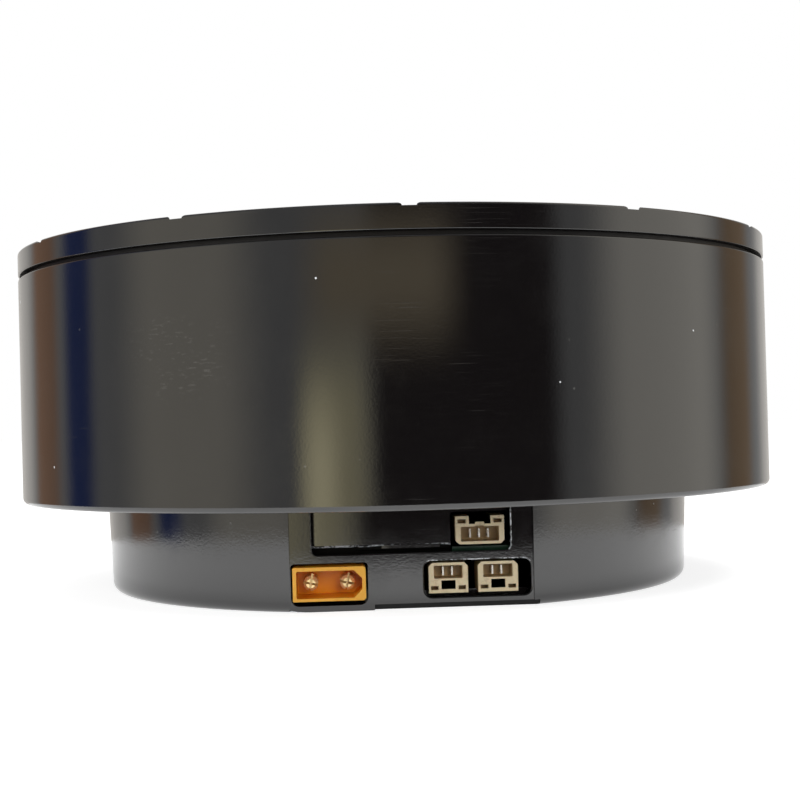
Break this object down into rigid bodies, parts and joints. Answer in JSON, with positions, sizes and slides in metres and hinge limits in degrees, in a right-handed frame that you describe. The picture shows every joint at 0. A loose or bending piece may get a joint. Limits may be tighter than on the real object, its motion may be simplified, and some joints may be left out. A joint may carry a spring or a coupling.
{
  "type": "robot joint actuator",
  "caption": "Flat round geared motor for a robot joint, with a threaded output flange, a stepped rear cover that holds the driver board, and plug sockets in a side recess.",
  "frame": {"origin": "centre of the rear cover's flat rear face, on the output axis", "axes": "+Z along the output axis towards the output flange, -Y towards the plug sockets"},
  "size_m": [0.12, 0.12, 0.0542],
  "materials": {
    "black_finish": "black anodised and lacquered, glossy",
    "output_finish": "black anodised, satin, turned face",
    "screw_black": "black oxide",
    "steel": "ground",
    "hardened_steel": "case hardened, lightly oiled",
    "lamination_steel": "stacked sheets, coated",
    "copper_wire": "enamelled copper wire",
    "magnet_nickel": "nickel plated",
    "bronze": "sintered bronze",
    "seal_rubber": "moulded",
    "pad_rubber": "silicone sheet",
    "board_green": "solder mask",
    "chip_black": "moulded epoxy",
    "capacitor_can": "drawn can",
    "lead_sleeve": "silicone sleeve",
    "socket_cream": "moulded nylon",
    "socket_amber": "moulded nylon, translucent amber",
    "contact_gold": "gold plated"
  },
  "bodies": {
    "housing": {"housing": "black_finish", "board_skirt": "black_finish", "front_cover": "black_finish", "front_cover_screws": "screw_black", "bearing_retainer": "output_finish", "retainer_screws": "screw_black", "output_seal": "seal_rubber", "output_bearing_outer_ring": "steel", "rear_bearing_outer_ring": "steel", "ring_gear": "hardened_steel", "ring_gear_screws": "screw_black", "stator_core": "lamination_steel", "stator_windings": "copper_wire", "rear_cover": "black_finish", "rear_cover_screws": "screw_black", "driver_board": "board_green", "board_screws": "screw_black", "power_transistors": "chip_black", "thermal_pads": "pad_rubber", "controller_chip": "chip_black", "gate_driver_chip": "chip_black", "encoder_chip": "chip_black", "shunt_resistors": "chip_black", "bus_capacitors": "capacitor_can", "phase_leads": "lead_sleeve", "sensor_socket": "socket_cream", "sensor_contacts": "contact_gold", "bus_left_socket": "socket_cream", "bus_left_contacts": "contact_gold", "bus_right_socket": "socket_cream", "bus_right_contacts": "contact_gold", "power_socket": "socket_amber", "power_pins": "contact_gold"},
    "rotor": {"rotor_hub": "steel", "rotor_magnets": "magnet_nickel", "sun_gear_shaft": "hardened_steel", "encoder_magnet": "magnet_nickel", "rear_bearing_inner_ring": "steel", "front_bearing_inner_ring": "steel"},
    "output": {"output_flange": "output_finish", "planet_carrier": "steel", "carrier_screws": "screw_black", "output_snap_ring": "screw_black", "planet_pins": "hardened_steel", "thrust_washers": "bronze", "output_bearing_inner_ring": "steel", "front_bearing_outer_ring": "steel"},
    "planet_1": {"planet_gear_1": "hardened_steel", "planet_bush_1": "bronze"},
    "planet_2": {"planet_gear_2": "hardened_steel", "planet_bush_2": "bronze"},
    "planet_3": {"planet_gear_3": "hardened_steel", "planet_bush_3": "bronze"},
    "output_bearing_cage_set": {"output_bearing_balls": "steel", "output_bearing_cage": "bronze"},
    "rear_bearing_cage_set": {"rear_bearing_balls": "steel", "rear_bearing_cage": "bronze"},
    "front_bearing_cage_set": {"front_bearing_balls": "steel", "front_bearing_cage": "bronze"}
  },
  "joints": [
    {"name": "rotor_spin", "type": "hinge", "parent": "housing", "child": "rotor", "pos_m": [0, 0, 0.02], "axis": [0, 0, 1], "continuous": true},
    {"name": "output_spin", "type": "hinge", "parent": "housing", "child": "output", "pos_m": [0, 0, 0.0462], "axis": [0, 0, 1], "continuous": true},
    {"name": "planet_1_spin", "type": "hinge", "parent": "output", "child": "planet_1", "pos_m": [0, 0.01688, 0.0305], "axis": [0, 0, 1], "continuous": true},
    {"name": "planet_2_spin", "type": "hinge", "parent": "output", "child": "planet_2", "pos_m": [-0.01461, -0.00844, 0.0305], "axis": [0, 0, 1], "continuous": true},
    {"name": "planet_3_spin", "type": "hinge", "parent": "output", "child": "planet_3", "pos_m": [0.01461, -0.00844, 0.0305], "axis": [0, 0, 1], "continuous": true},
    {"name": "output_bearing_cage_spin", "type": "hinge", "parent": "housing", "child": "output_bearing_cage_set", "pos_m": [0, 0, 0.0462], "axis": [0, 0, 1], "continuous": true},
    {"name": "rear_bearing_cage_spin", "type": "hinge", "parent": "housing", "child": "rear_bearing_cage_set", "pos_m": [0, 0, 0.0152], "axis": [0, 0, 1], "continuous": true},
    {"name": "front_bearing_cage_spin", "type": "hinge", "parent": "output", "child": "front_bearing_cage_set", "pos_m": [0, 0, 0.0387], "axis": [0, 0, 1], "continuous": true}
  ],
  "couplings": [
    {"joint": "output_spin", "follows": "rotor_spin", "ratio": 0.16667},
    {"joint": "planet_1_spin", "follows": "rotor_spin", "ratio": -0.41667},
    {"joint": "planet_2_spin", "follows": "rotor_spin", "ratio": -0.41667},
    {"joint": "planet_3_spin", "follows": "rotor_spin", "ratio": -0.41667},
    {"joint": "output_bearing_cage_spin", "follows": "rotor_spin", "ratio": 0.076115},
    {"joint": "rear_bearing_cage_spin", "follows": "rotor_spin", "ratio": 0.43023},
    {"joint": "front_bearing_cage_spin", "follows": "rotor_spin", "ratio": 0.33333}
  ]
}
